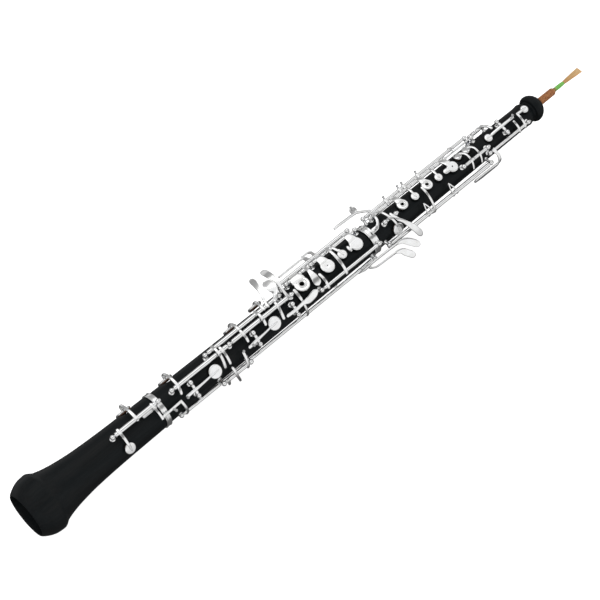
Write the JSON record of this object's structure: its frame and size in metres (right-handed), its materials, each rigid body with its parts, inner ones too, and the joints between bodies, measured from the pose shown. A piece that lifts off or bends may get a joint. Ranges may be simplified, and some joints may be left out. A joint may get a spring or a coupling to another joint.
{
  "type": "oboe with reed",
  "caption": "Oboe in three joints with silvered keywork on hinge rods and posts, sprung keys, thumb rest and a corked double reed.",
  "frame": {"origin": "centre of the bell's mouth, on the axis of the bore", "axes": "+X along the bore from the bell towards the reed; +Z out of the front, where the finger holes are, so the oboe lies on its back; +Y towards the player's right-hand side"},
  "size_m": [0.65, 0.0705, 0.0518],
  "materials": {
    "blackwood": "satin black, oiled, fine lengthwise grain",
    "cork": "matte sanded cork",
    "thread": "wound waxed thread",
    "cane": "scraped cane, matte",
    "brass": "satin brass",
    "post_silver": "bright silver plate",
    "ring_silver": "bright silver plate",
    "key_silver": "bright silver plate, lightly handled"
  },
  "bodies": {
    "root": {"bell": "blackwood", "bell_ring": "ring_silver", "lower_joint": "blackwood", "lower_tenon_cork": "cork", "middle_ring": "ring_silver", "upper_joint": "blackwood", "upper_tenon_cork": "cork", "thumb_rest": "key_silver", "bell_rod": "post_silver", "low_key_rod": "post_silver", "little_finger_rod": "post_silver", "left_low_rod": "post_silver", "side_link_rod": "post_silver", "lower_stack_rod": "post_silver", "long_bar_rod": "post_silver", "front_link_rod": "post_silver", "upper_stack_rod": "post_silver", "trill_lever_rod": "post_silver", "left_link_rod": "post_silver", "g_sharp_rod": "post_silver", "trill_rod": "post_silver", "octave_rod": "post_silver", "thumb_octave_rod": "post_silver", "c_sharp_pivot": "post_silver", "e_flat_pivot": "post_silver", "banana_pivot": "post_silver", "first_octave_pivot": "post_silver"},
    "reed": {"reed_staple": "brass", "reed_cork": "cork", "reed_thread": "thread", "reed_cane": "cane"},
    "low_b_flat_key": {"low_b_flat_key": "key_silver"},
    "low_b_key": {"low_b_key": "key_silver"},
    "e_flat_key": {"e_flat_key": "key_silver"},
    "low_c_key": {"low_c_key": "key_silver"},
    "c_sharp_touch": {"c_sharp_touch": "key_silver"},
    "c_sharp_key": {"c_sharp_key": "key_silver"},
    "e_flat_vent_key": {"e_flat_vent_key": "key_silver"},
    "banana_key": {"banana_key": "key_silver"},
    "side_link_key": {"side_link_key": "key_silver"},
    "low_b_flat_lever": {"low_b_flat_lever": "key_silver"},
    "low_b_lever": {"low_b_lever": "key_silver"},
    "right_third_finger_key": {"right_third_finger_key": "key_silver"},
    "f_key": {"f_key": "key_silver"},
    "right_second_finger_key": {"right_second_finger_key": "key_silver"},
    "right_first_finger_key": {"right_first_finger_key": "key_silver"},
    "long_side_bar": {"long_side_bar": "key_silver"},
    "front_link_key": {"front_link_key": "key_silver"},
    "trill_lever": {"trill_lever": "key_silver"},
    "g_sharp_touch": {"g_sharp_touch": "key_silver"},
    "g_sharp_key": {"g_sharp_key": "key_silver"},
    "left_third_finger_key": {"left_third_finger_key": "key_silver"},
    "left_second_finger_key": {"left_second_finger_key": "key_silver"},
    "left_first_finger_key": {"left_first_finger_key": "key_silver"},
    "left_link_key": {"left_link_key": "key_silver"},
    "first_trill_key": {"first_trill_key": "key_silver"},
    "second_trill_key": {"second_trill_key": "key_silver"},
    "second_octave_key": {"second_octave_key": "key_silver"},
    "first_octave_key": {"first_octave_key": "key_silver"},
    "thumb_octave_key": {"thumb_octave_key": "key_silver"}
  },
  "joints": [
    {"name": "low_b_flat_key_hinge", "type": "hinge", "parent": "root", "child": "low_b_flat_key", "pos_m": [0.1105, -0.00202, 0.01919], "axis": [1, 0, 0], "range_deg": [-2.5, 0], "stiffness_Nm_per_rad": 0.02, "springref_deg": 8.59},
    {"name": "low_b_key_hinge", "type": "hinge", "parent": "root", "child": "low_b_key", "pos_m": [0.1801, -0.00188, 0.0179], "axis": [1, 0, 0], "range_deg": [-2.5, 0], "stiffness_Nm_per_rad": 0.02, "springref_deg": 8.59},
    {"name": "e_flat_key_hinge", "type": "hinge", "parent": "root", "child": "e_flat_key", "pos_m": [0.246, -0.00188, 0.0179], "axis": [1, 0, 0], "range_deg": [-4, 0], "stiffness_Nm_per_rad": 0.02, "springref_deg": 8.59},
    {"name": "low_c_key_hinge", "type": "hinge", "parent": "root", "child": "low_c_key", "pos_m": [0.2263, 0.00401, 0.01779], "axis": [1, 0, 0], "range_deg": [-2.5, 0], "stiffness_Nm_per_rad": 0.02, "springref_deg": 8.59},
    {"name": "c_sharp_touch_hinge", "type": "hinge", "parent": "root", "child": "c_sharp_touch", "pos_m": [0.2646, 0.00401, 0.01779], "axis": [1, 0, 0], "range_deg": [-4, 0], "stiffness_Nm_per_rad": 0.02, "springref_deg": 8.59},
    {"name": "c_sharp_key_hinge", "type": "hinge", "parent": "root", "child": "c_sharp_key", "pos_m": [0.165, -0.01139, 0.01308], "axis": [0, -0.7541, -0.6567], "range_deg": [0, 5], "stiffness_Nm_per_rad": 0.02, "springref_deg": -8.59},
    {"name": "e_flat_vent_key_hinge", "type": "hinge", "parent": "root", "child": "e_flat_vent_key", "pos_m": [0.2333, -0.01105, 0.01303], "axis": [0, -0.7627, -0.6468], "range_deg": [0, 5], "stiffness_Nm_per_rad": 0.02, "springref_deg": -8.59},
    {"name": "banana_key_hinge", "type": "hinge", "parent": "root", "child": "banana_key", "pos_m": [0.276, -0.01214, 0.01214], "axis": [0, -0.7071, -0.7071], "range_deg": [-3, 0], "stiffness_Nm_per_rad": 0.02, "springref_deg": 8.59},
    {"name": "side_link_key_hinge", "type": "hinge", "parent": "root", "child": "side_link_key", "pos_m": [0.20405, -0.0198, 0.00278], "axis": [1, 0, 0], "range_deg": [0, 4], "stiffness_Nm_per_rad": 0.02, "springref_deg": -8.59},
    {"name": "low_b_flat_lever_hinge", "type": "hinge", "parent": "root", "child": "low_b_flat_lever", "pos_m": [0.2496, -0.01588, -0.00195], "axis": [1, 0, 0], "range_deg": [0, 3], "stiffness_Nm_per_rad": 0.02, "springref_deg": -8.59},
    {"name": "low_b_lever_hinge", "type": "hinge", "parent": "root", "child": "low_b_lever", "pos_m": [0.3569, -0.01588, -0.00195], "axis": [1, 0, 0], "range_deg": [0, 3], "stiffness_Nm_per_rad": 0.02, "springref_deg": -8.59},
    {"name": "right_third_finger_key_hinge", "type": "hinge", "parent": "root", "child": "right_third_finger_key", "pos_m": [0.2956, 0.00951, 0.01409], "axis": [1, 0, 0], "range_deg": [0, 4.5], "stiffness_Nm_per_rad": 0.02, "springref_deg": -8.59},
    {"name": "f_key_hinge", "type": "hinge", "parent": "root", "child": "f_key", "pos_m": [0.3075, 0.00951, 0.01409], "axis": [1, 0, 0], "range_deg": [0, 4], "stiffness_Nm_per_rad": 0.02, "springref_deg": -8.59},
    {"name": "right_second_finger_key_hinge", "type": "hinge", "parent": "root", "child": "right_second_finger_key", "pos_m": [0.3235, 0.00951, 0.01409], "axis": [1, 0, 0], "range_deg": [0, 4.5], "stiffness_Nm_per_rad": 0.02, "springref_deg": -8.59},
    {"name": "right_first_finger_key_hinge", "type": "hinge", "parent": "root", "child": "right_first_finger_key", "pos_m": [0.3462, 0.00951, 0.01409], "axis": [1, 0, 0], "range_deg": [0, 4.5], "stiffness_Nm_per_rad": 0.02, "springref_deg": -8.59},
    {"name": "long_side_bar_hinge", "type": "hinge", "parent": "root", "child": "long_side_bar", "pos_m": [0.3204, 0.01367, 0.0132], "axis": [1, 0, 0], "range_deg": [-4, 0], "stiffness_Nm_per_rad": 0.02, "springref_deg": 8.59},
    {"name": "front_link_key_hinge", "type": "hinge", "parent": "root", "child": "front_link_key", "pos_m": [0.3395, -0.01341, 0.01125], "axis": [1, 0, 0], "range_deg": [-1.5, 0], "stiffness_Nm_per_rad": 0.02, "springref_deg": 8.59},
    {"name": "trill_lever_hinge", "type": "hinge", "parent": "root", "child": "trill_lever", "pos_m": [0.44385, 0.01364, 0.01144], "axis": [1, 0, 0], "range_deg": [-4, 0], "stiffness_Nm_per_rad": 0.02, "springref_deg": 8.59},
    {"name": "g_sharp_touch_hinge", "type": "hinge", "parent": "root", "child": "g_sharp_touch", "pos_m": [0.3964, -0.00343, 0.01614], "axis": [1, 0, 0], "range_deg": [0, 4], "stiffness_Nm_per_rad": 0.02, "springref_deg": -8.59},
    {"name": "g_sharp_key_hinge", "type": "hinge", "parent": "root", "child": "g_sharp_key", "pos_m": [0.3969, 0.00983, 0.01172], "axis": [1, 0, 0], "range_deg": [-3.5, 0], "stiffness_Nm_per_rad": 0.02, "springref_deg": 8.59},
    {"name": "left_third_finger_key_hinge", "type": "hinge", "parent": "root", "child": "left_third_finger_key", "pos_m": [0.4204, 0.00983, 0.01172], "axis": [1, 0, 0], "range_deg": [0, 4.5], "stiffness_Nm_per_rad": 0.02, "springref_deg": -8.59},
    {"name": "left_second_finger_key_hinge", "type": "hinge", "parent": "root", "child": "left_second_finger_key", "pos_m": [0.4496, 0.00983, 0.01172], "axis": [1, 0, 0], "range_deg": [0, 4.5], "stiffness_Nm_per_rad": 0.02, "springref_deg": -8.59},
    {"name": "left_first_finger_key_hinge", "type": "hinge", "parent": "root", "child": "left_first_finger_key", "pos_m": [0.4697, 0.00983, 0.01172], "axis": [1, 0, 0], "range_deg": [0, 4.5], "stiffness_Nm_per_rad": 0.02, "springref_deg": -8.59},
    {"name": "left_link_key_hinge", "type": "hinge", "parent": "root", "child": "left_link_key", "pos_m": [0.44695, -0.01713, 0.00241], "axis": [1, 0, 0], "range_deg": [-3, 0], "stiffness_Nm_per_rad": 0.02, "springref_deg": 8.59},
    {"name": "first_trill_key_hinge", "type": "hinge", "parent": "root", "child": "first_trill_key", "pos_m": [0.49165, -0.00795, 0.01272], "axis": [1, 0, 0], "range_deg": [0, 6], "stiffness_Nm_per_rad": 0.02, "springref_deg": -8.59},
    {"name": "second_trill_key_hinge", "type": "hinge", "parent": "root", "child": "second_trill_key", "pos_m": [0.50455, -0.00795, 0.01272], "axis": [1, 0, 0], "range_deg": [0, 6], "stiffness_Nm_per_rad": 0.02, "springref_deg": -8.59},
    {"name": "second_octave_key_hinge", "type": "hinge", "parent": "root", "child": "second_octave_key", "pos_m": [0.5398, -0.01161, 0.00783], "axis": [1, 0, 0], "range_deg": [0, 5], "stiffness_Nm_per_rad": 0.02, "springref_deg": -8.59},
    {"name": "first_octave_key_hinge", "type": "hinge", "parent": "root", "child": "first_octave_key", "pos_m": [0.54, -0.00151, 0.01354], "axis": [0, -0.9939, -0.1106], "range_deg": [-4, 0], "stiffness_Nm_per_rad": 0.02, "springref_deg": 8.59},
    {"name": "thumb_octave_key_hinge", "type": "hinge", "parent": "root", "child": "thumb_octave_key", "pos_m": [0.52245, 0.01324, 0.00704], "axis": [1, 0, 0], "range_deg": [-3, 0], "stiffness_Nm_per_rad": 0.02, "springref_deg": 8.59},
    {"name": "reed_slide", "type": "slide", "parent": "root", "child": "reed", "axis": [1, 0, 0], "range_m": [0, 0.015]}
  ],
  "couplings": [
    {"joint": "low_b_flat_key_hinge", "follows": "low_b_flat_lever_hinge", "ratio": -0.83333},
    {"joint": "low_b_key_hinge", "follows": "low_b_lever_hinge", "ratio": -0.83333},
    {"joint": "side_link_key_hinge", "follows": "low_b_lever_hinge", "ratio": 1.3333},
    {"joint": "c_sharp_key_hinge", "follows": "c_sharp_touch_hinge", "ratio": -1.25},
    {"joint": "e_flat_vent_key_hinge", "follows": "e_flat_key_hinge", "ratio": -1.25},
    {"joint": "first_trill_key_hinge", "follows": "trill_lever_hinge", "ratio": -1.5},
    {"joint": "g_sharp_key_hinge", "follows": "g_sharp_touch_hinge", "ratio": -0.875},
    {"joint": "first_octave_key_hinge", "follows": "thumb_octave_key_hinge", "ratio": 1.3333}
  ]
}
